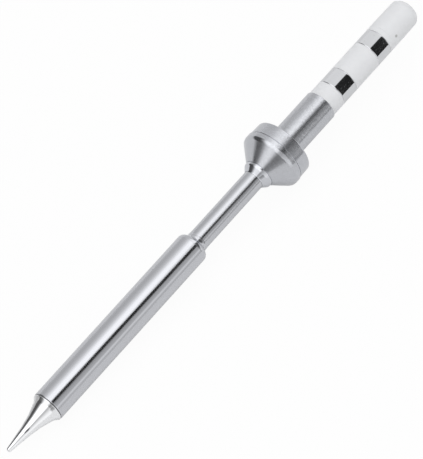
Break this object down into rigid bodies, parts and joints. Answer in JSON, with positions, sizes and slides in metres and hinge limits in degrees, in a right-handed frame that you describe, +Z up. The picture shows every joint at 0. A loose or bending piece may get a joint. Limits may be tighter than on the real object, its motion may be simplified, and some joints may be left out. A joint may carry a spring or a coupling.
{
  "type": "soldering iron tip",
  "caption": "Plug-in soldering iron cartridge: fine conical bit, slim heater barrel, thin neck, stop collar, and a plug end with ring contacts in white ceramic.",
  "frame": {"origin": "on the table, under the middle of the tip's length", "axes": "+X along the length towards the plug end, +Z up; the turned axis climbs about 2.7 degrees towards +X because the tip rests on its collar's bead and its barrel's front edge"},
  "size_m": [0.1031, 0.011, 0.0111],
  "materials": {
    "plated_bit": "polished",
    "barrel_steel": "satin",
    "neck_steel": "satin",
    "collar_steel": "satin",
    "sleeve_steel": "satin",
    "contact_metal": "polished",
    "white_ceramic": "matte",
    "inner_ceramic": "matte",
    "packed_ceramic": "matte",
    "bush_steel": "satin",
    "heating_alloy": "matte",
    "lead_metal": "satin"
  },
  "bodies": {
    "root": {"soldering_bit": "plated_bit", "heater_sleeve": "inner_ceramic", "heater_former": "inner_ceramic", "heater_coil": "heating_alloy", "sensor_wire": "lead_metal", "sensor_bead": "heating_alloy", "heater_barrel": "barrel_steel", "power_lead": "lead_metal", "return_lead": "lead_metal", "barrel_filling": "packed_ceramic", "barrel_bush": "bush_steel", "neck_tube": "neck_steel", "lead_insulator": "inner_ceramic", "collar": "collar_steel", "rear_sleeve": "sleeve_steel", "front_insulator": "white_ceramic", "front_contact_ring": "contact_metal", "middle_insulator": "white_ceramic", "rear_contact_ring": "contact_metal", "insulating_washer": "white_ceramic", "end_cap": "white_ceramic", "contact_core": "inner_ceramic"}
  },
  "joints": []
}
